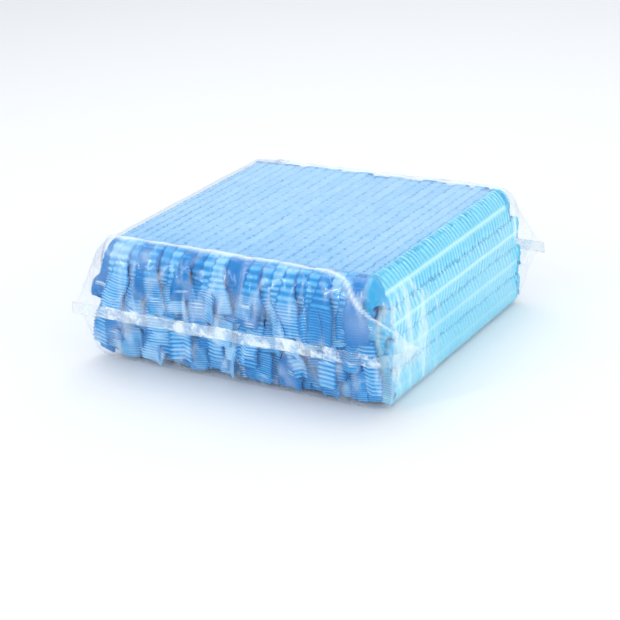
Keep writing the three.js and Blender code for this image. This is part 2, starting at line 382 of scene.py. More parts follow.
def make_film_material(name, clearness, haze, blotches, grid, square_gloss, roughness):
    material, tree = new_material(name)
    out = add_node(tree, "ShaderNodeOutputMaterial")
    clear = add_node(tree, "ShaderNodeBsdfTransparent", Color=(clearness, clearness, clearness, 1.0))
    gloss = add_node(tree, "ShaderNodeBsdfGlossy", Color=(0.88, 0.96, 1.0, 1.0), Roughness=roughness)
    milk_and_glint = add_node(tree, "ShaderNodeBsdfDiffuse", Color=(0.84, 0.94, 1.0, 1.0))
    spot = add_node(tree, "ShaderNodeTexCoord")
    upright = add_node(tree, "ShaderNodeMapping", vector_type="POINT", Scale=(1.0, 1.0, UPRIGHT_STRETCH))
    tree.links.new(spot.outputs["Object"], upright.inputs["Vector"])
    crumpled = add_node(tree, "ShaderNodeAttribute", attribute_name="crumpled")
    # Where the film is painted white: milky film, and painted highlights and glints.
    whitened_and_glints = add_node(tree, "ShaderNodeAttribute", attribute_name="whitened_and_glints")
    creases = add_crease_lines(tree, upright.outputs["Vector"])
    # White crease lines: partly the whitening of creased film, partly painted glints.
    lines = add_math(tree, "MULTIPLY", creases, crumpled.outputs["Fac"])
    cloud = add_node(tree, "ShaderNodeTexNoise", Scale=75.0, Detail=5.0, Roughness=0.65)
    tree.links.new(spot.outputs["Object"], cloud.inputs["Vector"])
    blotch = add_range(tree, cloud.outputs[0], BLOTCH_FROM, BLOTCH_FULL, 0.0, blotches)
    white_share = add_math(tree, "MULTIPLY_ADD", lines, CREASE_WHITE)
    white_share.node.inputs[2].default_value = haze
    white_share = add_math(tree, "ADD", white_share, whitened_and_glints.outputs["Fac"])
    white_share = add_math(tree, "ADD", white_share, blotch)
    white_share.node.use_clamp = True
    pressing = add_node(tree, "ShaderNodeTexVoronoi", feature="F1", Randomness=0.1)
    pressing.inputs["Scale"].default_value = PRESSED_POINTS_PER_METRE
    tree.links.new(spot.outputs["Object"], pressing.inputs["Vector"])
    relief = add_math(tree, "MULTIPLY", pressing.outputs["Distance"], grid)
    relief = add_math(tree, "ADD", relief, cloud.outputs[0])
    relief = add_math(tree, "ADD", relief, lines)
    bump = add_node(tree, "ShaderNodeBump", Strength=0.6, Distance=0.0008)
    tree.links.new(relief, bump.inputs["Height"])
    tree.links.new(bump.outputs["Normal"], gloss.inputs["Normal"])
    facing = add_node(tree, "ShaderNodeLayerWeight", Blend=0.5)
    slant = add_math(tree, "POWER", facing.outputs["Facing"], SLANT_POWER)
    mirror = add_math(tree, "MULTIPLY_ADD", slant, SLANT_GLOSS)
    mirror.node.inputs[2].default_value = square_gloss
    mirror.node.use_clamp = True
    body = add_node(tree, "ShaderNodeMixShader")
    tree.links.new(white_share, body.inputs["Fac"])
    tree.links.new(clear.outputs["BSDF"], body.inputs[1])
    tree.links.new(milk_and_glint.outputs["BSDF"], body.inputs[2])
    film = add_node(tree, "ShaderNodeMixShader")
    tree.links.new(mirror, film.inputs["Fac"])
    tree.links.new(body.outputs["Shader"], film.inputs[1])
    tree.links.new(gloss.outputs["BSDF"], film.inputs[2])
    path = add_node(tree, "ShaderNodeLightPath")
    unseen = add_math(tree, "MAXIMUM", path.outputs["Is Shadow Ray"], path.outputs["Is Diffuse Ray"])
    unseen = add_math(tree, "MAXIMUM", unseen, path.outputs["Is Glossy Ray"])
    through = add_node(tree, "ShaderNodeMixShader")
    tree.links.new(unseen, through.inputs["Fac"])
    tree.links.new(film.outputs["Shader"], through.inputs[1])
    tree.links.new(clear.outputs["BSDF"], through.inputs[2])
    tree.links.new(through.outputs["Shader"], out.inputs["Surface"])
    return material


film_material = make_film_material(
    "clear_film", clearness=0.995, haze=0.0, blotches=0.0, grid=0.0, square_gloss=0.022, roughness=0.06
)
weld_material = make_film_material(
    "welded_film", clearness=0.97, haze=0.12, blotches=0.5, grid=0.3, square_gloss=0.06, roughness=0.14
)
print("materials", film_material.name, weld_material.name)

# %% [markdown]
# ## Sizes read from the frame
#
# Every column and every layer stands where its solid stands, so their places are read from the frame's
# boxes. Only what the boxes don't say is given here: how long the straight part of a strip is, how wide a
# cap is once its tail is pressed flat, and how the film's pull rounds the stack's two upper edges.

# %% Sizes read from the frame
COLUMNS = sum(name.startswith("hairnet_top_") for name in frame["nodes"])
LAYERS = 4
STRIP_STRAIGHT = 166 * MM
STRIP_GAP = 0.35 * MM
TAIL_REACH = 17 * MM
TAIL_FALL = 32 * MM
TAIL_HALF_WIDTH = 7.7 * MM
TAIL_HALF_THICKNESS = 0.5 * MM
SHOULDER_LEAN = 7 * MM
SHOULDER_COLUMNS = 6


def top_node(column):
    return f"hairnet_top_{column + 1:02d}"


def column_x(column):
    outer = {0: "hairnet_left_2", COLUMNS - 1: "hairnet_right_2"}
    low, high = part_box(outer.get(column, f"hairnet_stack_{column + 1:02d}"))
    return (low[0] + high[0]) / 2


right_tops = [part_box(f"hairnet_right_{layer}")[1][2] for layer in (2, 4)]
LAYER_PITCH = (right_tops[0] - right_tops[1]) / 2
STRIP_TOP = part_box(top_node(COLUMNS // 2))[1][2]
STRIP_HALF_HEIGHT = (LAYER_PITCH - STRIP_GAP) / 2
STRIP_HALF_WIDTH = (column_x(1) - column_x(0) - STRIP_GAP) / 2


def layer_z(layer):
    return STRIP_TOP - STRIP_HALF_HEIGHT - layer * LAYER_PITCH


def shoulder_lean(column):
    """How far the film's pull has pushed the top of a column inwards: most at the two outermost ones."""
    from_edge = min(column, COLUMNS - 1 - column) / SHOULDER_COLUMNS
    inwards = -1 if column > COLUMNS // 2 else 1
    return inwards * SHOULDER_LEAN * max(0.0, 1.0 - from_edge) ** 2


print("columns", COLUMNS, "layer pitch", round(LAYER_PITCH, 4), "half width", round(STRIP_HALF_WIDTH, 4))

# %% [markdown]
# ## One strip as a template
#
# All strips are the same kind of thing: a closed tube of cloth that is boxy along its straight part and
# flat at its tails. A grid is the simplest start: rolled up round its length, joined along the seam and
# closed at its two ends. Each point remembers which ring it is on and where round the ring it sits, and
# each face has its place on the cloth as a map. The strips are copies, and only their points move.

# %% One strip as a template
RINGS_PER_CRIMP = 4
TAIL_RINGS = 68
RING_STEP = 0.6 * MM
ROLL_LENGTH = 4
SEAM_DISTANCE = 1e-5


def make_template(name, body_rings, around):
    rings = body_rings + 2 * TAIL_RINGS
    bm = bmesh.new()
    bm.loops.layers.uv.new("cloth")
    for value in ("ring", "spot", "painted_light", "welds_and_elastic_highlight", "tone"):
        bm.verts.layers.float.new(value)
    bmesh.ops.create_grid(bm, x_segments=rings - 1, y_segments=around, size=1.0, calc_uvs=True)
    ring, spot = bm.verts.layers.float["ring"], bm.verts.layers.float["spot"]
    for vert in bm.verts:
        vert[ring] = round((vert.co.x + 1) / 2 * (rings - 1))
        vert[spot] = round((vert.co.y + 1) / 2 * around) % around
        turn = math.pi * vert.co.y
        vert.co = (vert.co.x * ROLL_LENGTH, math.cos(turn), math.sin(turn))
    cloth = bm.loops.layers.uv["cloth"]
    for face in bm.faces:
        for loop in face.loops:
            share = loop[cloth].uv
            loop[cloth].uv = (share.x * rings * RING_STEP, share.y * around * 2 * RING_STEP)
    bmesh.ops.remove_doubles(bm, verts=bm.verts, dist=SEAM_DISTANCE)
    ends = [edge for edge in bm.edges if edge.is_boundary]
    caps = bmesh.ops.holes_fill(bm, edges=ends, sides=0)["faces"]
    bmesh.ops.triangulate(bm, faces=caps)
    bmesh.ops.recalc_face_normals(bm, faces=bm.faces)
    for face in bm.faces:
        face.smooth = True
    mesh = bpy.data.meshes.new(name)
    bm.to_mesh(mesh)
    bm.free()
    return mesh


def read_value(mesh, name):
    values = np.empty(len(mesh.vertices), dtype=np.float32)
    mesh.attributes[name].data.foreach_get("value", values)
    return values


def write_value(mesh, name, values):
    mesh.attributes[name].data.foreach_set("value", values.astype(np.float32))


LONG_BODY_RINGS = 61 * RINGS_PER_CRIMP + 1
SHORT_BODY_RINGS = 8
top_template = make_template("top_template", LONG_BODY_RINGS, 14)
side_template = make_template("side_template", LONG_BODY_RINGS, 28)
inner_template = make_template("inner_template", SHORT_BODY_RINGS, 12)
for template in (top_template, side_template, inner_template):
    print(template.name, len(template.vertices), "points", len(template.polygons), "faces")

# %% [markdown]
# ## The outline round a strip
#
# Seen from its end a folded cap is a tall narrow box with soft corners. A top strip needs its points on the
# crest, where it shows, and an outermost strip on its broad outer face, where the elastic pinches it in the
# middle. Each outline is a list of places across and up, as shares of half the width and half the height.

# %% The outline round a strip
def boxy_outline(around, sharpness):
    turn = np.linspace(-math.pi, math.pi, around, endpoint=False)
    across = np.sign(np.cos(turn)) * np.abs(np.cos(turn)) ** (2 / sharpness)
    up = np.sign(np.sin(turn)) * np.abs(np.sin(turn)) ** (2 / sharpness)
    return across, up


def crested_outline():
    table = [
        (-0.9, -1.0), (0.9, -1.0), (1.0, -0.5), (1.02, 0.5), (1.045, 0.97), (0.96, 0.995), (0.78, 1.0),
        (0.3, 1.0), (-0.3, 1.0), (-0.78, 1.0), (-0.96, 0.995), (-1.045, 0.97), (-1.02, 0.5), (-1.0, -0.5),
    ]
    return tuple(np.array(column) for column in zip(*table))


OUTER_FACE_POINTS = 19
ELASTIC_PLACE = -0.11
ELASTIC_HALF_WIDTH = 0.15
ELASTIC_PINCH = 0.2
EDGE_ROUNDING = 0.06
TOP_ROUNDING = 0.55
TOP_ROUND_FROM = 0.4
BOTTOM_ROUNDING = 0.7
BOTTOM_ROUND_FROM = 0.3
ROUNDING_POWER = 2.2


def outer_outline(rounded_top, rounded_bottom):
    up = np.linspace(-1.0, 1.0, OUTER_FACE_POINTS)
    pinch = np.exp(-(((up - ELASTIC_PLACE) / ELASTIC_HALF_WIDTH) ** 2))
    to_top = np.clip((up - TOP_ROUND_FROM) / (1 - TOP_ROUND_FROM), 0, 1)
    to_bottom = np.clip((-up - BOTTOM_ROUND_FROM) / (1 - BOTTOM_ROUND_FROM), 0, 1)
    across = 1.0 - ELASTIC_PINCH * pinch - EDGE_ROUNDING * np.abs(up) ** 6
    across -= rounded_top * TOP_ROUNDING * to_top**ROUNDING_POWER
    across -= rounded_bottom * BOTTOM_ROUNDING * to_bottom**ROUNDING_POWER
    top = [(0.2, 1.0), (-0.4, 1.0), (-0.95, 0.98)]
    inner = [(-1.0, 0.4), (-1.0, -0.4)]
    under = [(-0.95, -0.98), (-0.5, -1.0), (-0.1, -1.0), (0.2, -0.99)]
    rest = top + inner + under
    return (
        np.concatenate([across, [row[0] for row in rest]]),
        np.concatenate([up, [row[1] for row in rest]]),
    )


print("outer outline", len(outer_outline(1, 0)[0]), "points")

# %% [markdown]
# ## The line that a strip follows
#
# A strip runs straight through the stack, and past the stack each end leans out, bends over and droops as a
# flat crimped tail that faces the end of the bag. The line is worked out ring by ring: a centre, the
# direction across, the direction up, and half the width and height there. A tail is nearly twice as wide as
# its column, so three neighbours hang at three depths, and upper layers hang in front of lower ones. A small
# table says where along a tail each change starts and ends, as shares of its length.

# %% The line that a strip follows
BEND_SHARE = 0.3
DEPTHS = 3
NECK_PINCH = 0.06
BEND_DROP = 9 * MM
WIDEN_FROM = (0.36, 0.26, 0.12)
WIDEN_SPAN = 0.24
TIP_NARROWING = 0.12
STAGES = {
    "thin": (0.0, 0.24),
    "shoulder": (0.0, 0.3),
    "pinch": (0.02, 0.16),
    "lean": (0.1, 0.5),
    "drift": (0.12, 1.0),
    "face": (0.2, 0.6),
    "tip": (0.95, 1.0),
}
RISE_SHARE = (0.0, 0.35, 0.7)
DASH_RINGS = 3
DASH_SHARE = 0.45
LEAST_DASH = 0.3


def eased(value, start, end):
    share = np.clip((value - start) / (end - start), 0.0, 1.0)
    return share * share * (3.0 - 2.0 * share)


def tail_line(side, layer, column, tail):
    """Rings from the neck to the tip: centre, across, up, half width, half height."""
    depth = column % DEPTHS
    slot = DEPTHS * (LAYERS - 1 - layer) + depth
    reach = TAIL_REACH * (slot + 1.0) / (DEPTHS * LAYERS)
    reach = max(reach + STRIP_STRAIGHT / 2 - tail["end"], SHORTEST_REACH)
    share = np.linspace(0.0, 1.0, TAIL_RINGS)
    bend = np.clip(share / BEND_SHARE, 0.0, 1.0) * math.pi / 2
    hang = np.clip((share - BEND_SHARE) / (1 - BEND_SHARE), 0.0, 1.0)
    half_height = STRIP_HALF_HEIGHT * (1 - eased(share, *STAGES["thin"])) + TAIL_HALF_THICKNESS
    rise = RISE_SHARE[depth] * (STRIP_HALF_HEIGHT - half_height) * (layer == 0)
    first_drop = min(BEND_DROP + rise[-1], 0.5 * tail["fall"])
    y = side * (tail["end"] + reach * np.sin(bend) + tail["curl"] * hang**2)
    z = layer_z(layer) + rise - first_drop * (1 - np.cos(bend)) - (tail["fall"] - first_drop) * hang
    x = column_x(column) + tail["drift"] * eased(share, *STAGES["drift"])
    x = x + shoulder_lean(column) * (layer == 0) * (0.5 + 0.3 * eased(share, *STAGES["shoulder"]))
    centre = np.stack([x, y, z], axis=1)
    lean = math.atan2(tail["drift"], tail["fall"]) * eased(share, *STAGES["lean"])
    facing = tail["turn"] * eased(share, *STAGES["face"])
    across = np.stack([np.cos(facing) * np.cos(lean), np.sin(facing) * side, np.sin(lean)], axis=1)
    tilt = shoulder_lean(column) * (layer == 0) / (2 * STRIP_HALF_HEIGHT)
    up = np.stack([tilt * np.cos(bend), side * np.sin(bend), np.cos(bend)], axis=1)
    widen = eased(share, WIDEN_FROM[depth], WIDEN_FROM[depth] + WIDEN_SPAN)
    pinch = NECK_PINCH * tail["pinch"] * eased(share, *STAGES["pinch"]) * (1 - widen)
    half_width = STRIP_HALF_WIDTH * (1 - pinch) + (tail["half_width"] - STRIP_HALF_WIDTH) * widen
    half_width *= 1 - TIP_NARROWING * eased(share, *STAGES["tip"])
    return centre, across, up, half_width, half_height


def shoulder_squeeze(column):
    """How much narrower the top of a leaning column is than its bottom, pressed by its neighbours."""
    beside = (max(column - 1, 0), min(column + 1, COLUMNS - 1))
    return max(abs(shoulder_lean(other) - shoulder_lean(column)) for other in beside)


def body_line(column, layer, rings, ends):
    share = np.linspace(0.0, 1.0, rings)
    lean = shoulder_lean(column) * (layer == 0)
    y = -ends[-1] + (ends[1] + ends[-1]) * share
    centre = np.stack(
        [np.full(rings, column_x(column) + lean / 2), y, np.full(rings, layer_z(layer))], axis=1
    )
    across = np.tile((1.0, 0.0, 0.0), (rings, 1))
    up = np.tile((lean / (2 * STRIP_HALF_HEIGHT), 0.0, 1.0), (rings, 1))
    return centre, across, up, np.full(rings, STRIP_HALF_WIDTH), np.full(rings, STRIP_HALF_HEIGHT)


def wander(count, step, size):
    """An uneven line: random values a few rings apart, with straight stretches between them."""
    knots = rng.uniform(-size, size, count // step + 3)
    return np.interp(np.arange(count), np.arange(len(knots)) * step, knots)


def dashes(count):
    """A groove that opens and closes: runs of a few rings, about half of them open, some more than others."""
    runs = count // DASH_RINGS + 1
    opened = rng.uniform(LEAST_DASH, 1.0, runs) * (rng.random(runs) < DASH_SHARE)
    return np.repeat(opened, DASH_RINGS)[:count]


crimp_length = RINGS_PER_CRIMP * STRIP_STRAIGHT / (LONG_BODY_RINGS - 1)
print("crimp", round(crimp_length * 1000, 2), "mm")

# %% [markdown]
# ## Shaping a strip
#
# The rings and the outline give the smooth strip. Then come its gathers. Along the body the crest is
# crimped and its two edges are notched in short runs of rings, so that the groove beside it shows as a row
# of dashes; painted shade darkens the dashes and the top's front edge, and the crimps carry painted light and
# shade. On an outermost strip the broad face stands out in fins that slant away from the elastic, with
# painted light and shade on the fins, painted shade between layers and a painted highlight along the elastic.
# The tails are corrugated right through, with a pair of welds pressed across more than half of them; their
# pleats and edges carry painted light and shade, and tails that hang further back are painted darker.

# %% Shaping a strip
CRIMP_WAVE = np.array([0.0, 1.0, 0.0, -1.0])
CREST_CRIMP = 0.22 * MM
EDGE_WANDER = 0.12 * MM
NOTCH_DEPTH = 0.5 * MM
NOTCH_WIDTH = 0.3 * MM
NOTCH_SHADE = 0.32
# Painted light: how light the top of the stack is, as it is lit from above.
TOP_PAINTED_LIGHT = 0.63
FRONT_SHADE = 0.12
FIN_DEPTH = 1.2 * MM
FIN_RINGS = 5.6
FIN_SLANT = 1.1
# How strong the painted fin light and shade and the elastic's painted highlight are on each layer, from the
# top down.
SIDE_STRENGTH = (1.0, 1.0, 0.6, 0.3)
TAIL_CRIMP = 0.36 * MM
# Painted shade: how dark the tails are, as they hang in shade below the top.
TAIL_PAINTED_LIGHT = 0.25
TAIL_EDGE_SHADE = 0.3
FLOOR_ROOM = 1.2 * MM
FAN_DRIFT = {-1: 9 * MM, 1: 3 * MM}
FAN_COLUMNS = 5
EAR_RUN_ON = (4 * MM, 12 * MM, 14 * MM, 12 * MM)
RUN_ON_FALL = 6 * MM
# Painted light: the tails that run on into the back ear are painted lighter.
RUN_ON_LIGHT = 0.25
SHORTEST_REACH = 2 * MM
WELD_GAP = 0.055
NO_WELD = 9.0


def runs_on(column, side):
    """Whether this end of the column reaches into the back ear."""
    return side > 0 and column == COLUMNS - 1


def strip_end(layer, column, side):
    """Where the straight part ends. Behind, the top strips run on a little and those at the ear more."""
    past_stack = -rng.uniform(0.0, 3.0) * MM
    if runs_on(column, side):
        past_stack = EAR_RUN_ON[layer]
    elif side > 0 and layer == 0:
        past_stack = rng.uniform(0.0, 6.0) * MM
    return STRIP_STRAIGHT / 2 + past_stack


def random_tail(layer, column, side):
    floor_room = layer_z(layer) - 4.0 * MM
    fall = min(TAIL_FALL + rng.uniform(-9, 11) * MM, floor_room)
    if runs_on(column, side):
        fall = min(fall, RUN_ON_FALL)
    drift = rng.uniform(-12, 12) * MM if rng.random() < 0.3 else rng.normal(0.0, 4.0) * MM
    from_ear = column if side < 0 else COLUMNS - 1 - column
    fan = side * FAN_DRIFT[side] * max(0.0, 1 - from_ear / FAN_COLUMNS)
    half_width = TAIL_HALF_WIDTH + rng.uniform(-1.4, 1.0) * MM
    outermost = column in (0, COLUMNS - 1)
    if outermost:
        half_width = STRIP_HALF_WIDTH + (-0.6 if runs_on(column, side) else 2.3) * MM
        drift = 0.0 if from_ear == 0 else side * 1.2 * MM
    return {
        "end": strip_end(layer, column, side),
        "fall": fall,
        "drift": (drift + fan) * min(1.0, fall / TAIL_FALL),
        "turn": rng.normal(0.0, 0.2),
        "curl": rng.uniform(-1.0, 1.0) * MM,
        "pinch": rng.uniform(0.6, 1.25),
        # Each tail's own random tone, plus painted light on the tails that run on into the back ear.
        "tone": rng.normal(0.0, 0.3) + RUN_ON_LIGHT * runs_on(column, side),
        "half_width": half_width,
        "fold": rng.normal(0.0, 1.3) * MM,
        "pitch": rng.uniform(3.0, 4.4),
        "weld": rng.uniform(0.5, 0.9) if rng.random() < 0.6 else NO_WELD,
    }


def shape_strip(template, name, column, layer, outline, outward):
    mesh = template.copy()
    mesh.name = name
    ring = read_value(mesh, "ring").astype(int)
    spot = read_value(mesh, "spot").astype(int)
    rings = ring.max() + 1
    number = np.arange(rings)
    tails = {side: random_tail(layer, column, side) for side in (-1, 1)}
    front = [part[::-1] for part in tail_line(-1, layer, column, tails[-1])]
    ends = {side: tails[side]["end"] for side in (-1, 1)}
    middle = body_line(column, layer, rings - 2 * TAIL_RINGS, ends)
    back = tail_line(1, layer, column, tails[1])
    joined = [np.concatenate(parts) for parts in zip(front, middle, back)]
    centre, across, up, half_width, half_height = joined
    in_front = number < TAIL_RINGS
    in_back = number >= rings - TAIL_RINGS
    past_neck = np.where(in_front, TAIL_RINGS - 1 - number, number - (rings - TAIL_RINGS)) / (TAIL_RINGS - 1)
    in_tail = np.where(in_front | in_back, past_neck, 0.0)

    pitch = np.where(in_front, tails[-1]["pitch"], tails[1]["pitch"])
    fold = np.where(in_front, tails[-1]["fold"], tails[1]["fold"]) * eased(in_tail, 0.15, 0.5)
    tail_wave = np.sin(2 * math.pi * number / pitch)
    wave = np.where(in_front | in_back, tail_wave, CRIMP_WAVE[number % RINGS_PER_CRIMP])
    wave = wave * (1.0 + wander(rings, 3, 0.5))
    centre = centre + up * (TAIL_CRIMP * wave * eased(in_tail, 0.0, 0.12))[:, None]
    centre[:, 0] += wander(rings, 18, 0.2 * MM)
    edge = wander(rings, 6, EDGE_WANDER)
    half_width = half_width * (1.0 + 0.06 * wave * (in_tail > 0.0)) + edge * (in_tail == 0)
    a, b = outline[0][spot] * outward, outline[1][spot]
    squeeze = shoulder_squeeze(column) * (layer == 0) * (in_tail == 0)
    half_across = half_width[ring] - squeeze[ring] * (b + 1) / 4
    points = (
        centre[ring]
        + across[ring] * (a * half_across)[:, None]
        + up[ring] * (b * half_height[ring] + fold[ring] * (2 * np.abs(a) - 1))[:, None]
    )

    body = in_tail[ring] == 0
    # Painted light and shade: 0 in a fold, 1 on a lit crest; the top is painted light and the tails dark.
    painted_light = np.full(len(ring), 0.35)
    top = body & (b > 0.9) & (layer == 0)
    notch = np.where(a > 0, dashes(rings)[ring], dashes(rings)[ring])
    edge_notch = notch * np.clip((np.abs(a) - 0.7) / 0.2, 0, 1)
    points[top, 2] += CREST_CRIMP * (wave[ring][top] - 1.0) - NOTCH_DEPTH * edge_notch[top]
    points[top, 0] -= NOTCH_WIDTH * (np.sign(a) * edge_notch)[top]
    # Painted shade: the top darker towards its front edge, where the strips bend down.
    near_front_shade = FRONT_SHADE * eased(-centre[ring, 1], 30 * MM, STRIP_STRAIGHT / 2)
    # Painted shade in the grooves between top strips, where their edges are notched.
    groove_shade = NOTCH_SHADE * (0.6 + 0.4 * eased(-centre[ring, 1], -70 * MM, 40 * MM)) * edge_notch
    # Painted light and shade on the crimps: lighter on each crimp's crest, darker in its valley.
    painted_light[top] = (TOP_PAINTED_LIGHT + 0.04 * wave[ring] - near_front_shade - groove_shade)[top]

    on_face = body & (a * outward > 0.1) & (len(outline[0]) > 20)
    spread = np.abs(b - ELASTIC_PLACE)
    phase = (ring / FIN_RINGS + FIN_SLANT * spread) * 2 * math.pi + 2.2 * wander(rings, 12, 1.0)[ring]
    uneven = 0.75 + 0.35 * wander(rings, 7, 1.0)[ring]
    fin = np.sin(phase) * uneven * (0.12 + 0.88 * np.clip(spread, 0, 1) ** 0.7)
    points[on_face, 0] += outward * FIN_DEPTH * 0.5 * (fin[on_face] - 0.6)
    scallop = wander(rings, 10, 0.2 * MM)[ring] * (np.abs(b) > 0.8)
    points[on_face, 2] += scallop[on_face]
    strength = SIDE_STRENGTH[layer]
    border_shade = (dashes(rings)[ring] * (np.abs(b) > 0.85))[on_face]
    # Painted light on each fin, painted shade between fins and, as dashes, between layers.
    painted_light[on_face] = 0.53 + strength * (0.5 * fin[on_face] - 0.6 * border_shade)

    # Painted shade: tails that hang further back are darker, those in front lighter.
    depth_shade = (-0.16, -0.04, 0.08)[column % DEPTHS]
    # Each tail's random tone, with painted light on the run-on tails.
    tone_and_run_on_light = np.where(in_front, tails[-1]["tone"], tails[1]["tone"])
    # Painted light and shade on the pleats: lighter on each pleat's crest, darker in its fold.
    pleat_shade = 0.29 * wave * (0.75 + 0.25 * eased(in_tail, 0.15, 0.4))
    # Painted shade along each tail's edges, where it meets its neighbours.
    tail_edge_shade = TAIL_EDGE_SHADE * (np.abs(a) > 0.9)
    painted_light[~body] = ((TAIL_PAINTED_LIGHT + depth_shade + tone_and_run_on_light + pleat_shade)[ring] - tail_edge_shade)[~body]
    welds_and_elastic_highlight = np.zeros(len(ring))
    # A painted highlight along the elastic, weaker on the lower layers; the welds below are real pale marks.
    elastic_highlight = 0.85 * strength * np.clip(1 - (spread / ELASTIC_HALF_WIDTH) ** 2, 0, 1)
    welds_and_elastic_highlight[on_face] = elastic_highlight[on_face]
    for side, here in ((-1, in_front), (1, in_back)):
        for offset in (0.0, WELD_GAP):
            line = here & (np.abs(in_tail - tails[side]["weld"] - offset) < 0.6 / TAIL_RINGS)
            welds_and_elastic_highlight[line[ring] & (np.abs(a) < 0.7)] = 0.9
    points[:, 2] = np.maximum(points[:, 2], FLOOR_ROOM)
    mesh.vertices.foreach_set("co", points.astype(np.float32).ravel())
    write_value(mesh, "painted_light", painted_light)
    write_value(mesh, "welds_and_elastic_highlight", welds_and_elastic_highlight)
    strip_tone = rng.uniform(-0.1, 0.1) * np.where(body, 0.35, 1.0)
    write_value(mesh, "tone", strip_tone + 0.05 * wander(rings, 20, 1.0)[ring])
    if outward < 0:
        mesh.flip_normals()
    mesh.update()
    return mesh


# %% [markdown]
# ## Placing the strips
#
# The top layer and the two side faces show best, so each of their strips is a piece of its own with all its
# gathers. The three lower strips of an inner column show only at their tails, so they are joined into one
# piece for each column.

# %% Placing the strips
def add_piece(name, mesh, material, nodes):
    mesh.materials.clear()
    mesh.materials.append(material)
    piece = bpy.data.objects.new(name, mesh)
    scene.collection.objects.link(piece)
    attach(piece, BODY)
    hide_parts(*nodes)
    return piece


def join_meshes(name, meshes):
    bm = bmesh.new()
    for mesh in meshes:
        bm.from_mesh(mesh)
        bpy.data.meshes.remove(mesh)
    joined = bpy.data.meshes.new(name)
    bm.to_mesh(joined)
    bm.free()
    return joined


def add_outer_column(column, word, outward, material):
    added = []
    for layer in range(LAYERS):
        outline = outer_outline(layer == 0, layer == LAYERS - 1)
        name = f"cap_{word}_{layer + 1}"
        node = f"hairnet_{word}_{layer + 1}" if layer else top_node(column)
        mesh = shape_strip(side_template, name, column, layer, outline, outward)
        added.append(add_piece(name, mesh, material, [node]))
    return added


def add_inner_column(column):
    number = f"{column + 1:02d}"
    mesh = shape_strip(top_template, f"cap_top_{number}", column, 0, crested_outline(), 1)
    top = add_piece(f"cap_top_{number}", mesh, cap_material, [top_node(column)])
    lower = [
        shape_strip(inner_template, f"lower_{layer}", column, layer, boxy_outline(12, 4.0), 1)
        for layer in range(1, LAYERS)
    ]
    joined = join_meshes(f"cap_stack_{number}", lower)
    node = f"hairnet_stack_{number}"
    stack = add_piece(f"cap_stack_{number}", joined, cap_material, [node])
    return [top, stack]


strip_pieces = add_outer_column(0, "left", -1, cap_material)
for column in range(1, COLUMNS - 1):
    strip_pieces += add_inner_column(column)
strip_pieces += add_outer_column(COLUMNS - 1, "right", 1, lit_side_material)
for template in (top_template, side_template, inner_template):
    bpy.data.meshes.remove(template)
faces = sum(len(piece.data.polygons) for piece in strip_pieces)
print("strips", len(strip_pieces), "pieces", faces, "faces")

# %% [markdown]
# ## The film bag
#
# The bag is a flat tube of film that was filled, pulled tight round the stack and welded across both ends.
# Round the stack it is a soft-cornered box. Past the stack its top comes down and its bottom comes up to
# meet at the weld, and because the film's girth can't shrink, the spare width at each side has to go
# somewhere. At one corner of each end it stands out as an ear, and at the other it lies folded back along
# the side. So each ring is a loop through eight corners, and the reach of its two sides follows from how
# far the top has come down.

# %% The plan of the film
FILM_GAP = 1.1 * MM
FILM_BULGE = 2.0 * MM
END_RINGS = 44
FLAP_RINGS = 32
MIDDLE_RINGS = 14
CORNER_POINTS = (100, 14, 20, 24, 56, 24, 20, 14)
FLAP_REACH = 54 * MM
FLAP_STAND = 2.6 * MM
FLAP_DROP = 14 * MM
SIDE_FLAP = 58 * MM
FLOOR_GAP = 0.3 * MM
film_low, film_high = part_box("bag_film")
seal_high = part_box("bag_seal_front")[1]
SEAL_Z = seal_high[2] - 1.5 * MM
FILM_HALF_WIDTH = (column_x(COLUMNS - 1) - column_x(0)) / 2 + STRIP_HALF_WIDTH + FILM_GAP
FILM_END = -film_low[1] - 1.5 * MM
EAR_REACH = -film_low[0] - FILM_HALF_WIDTH - 0.5 * MM
FULL_DROP = film_high[2] - SEAL_Z
FULL_RISE = SEAL_Z - film_low[2]
END_LENGTH = FILM_END - STRIP_STRAIGHT / 2


def round_corner(length, height, sharpness, samples):
    """A quarter of a squared circle, from (0, 0) out and round to (length, height), in even steps."""
    turn = np.linspace(0.0, math.pi / 2, 400)
    out = length * np.sin(turn) ** (2 / sharpness)
    down = height * (1 - np.cos(turn) ** (2 / sharpness))
    steps = np.hypot(np.diff(out), np.diff(down))
    along = np.concatenate([[0.0], np.cumsum(steps)])
    wanted = np.linspace(0.0, along[-1], samples + 1)[1:]
    return np.interp(wanted, along, out), np.interp(wanted, along, down), along[-1]


TOP_OUT, TOP_DOWN, TOP_ARC = round_corner(END_LENGTH, FULL_DROP, 3.0, END_RINGS)
FLOOR_OUT, FLOOR_RISE, FLOOR_ARC = round_corner(END_LENGTH, FULL_RISE, 3.4, END_RINGS)


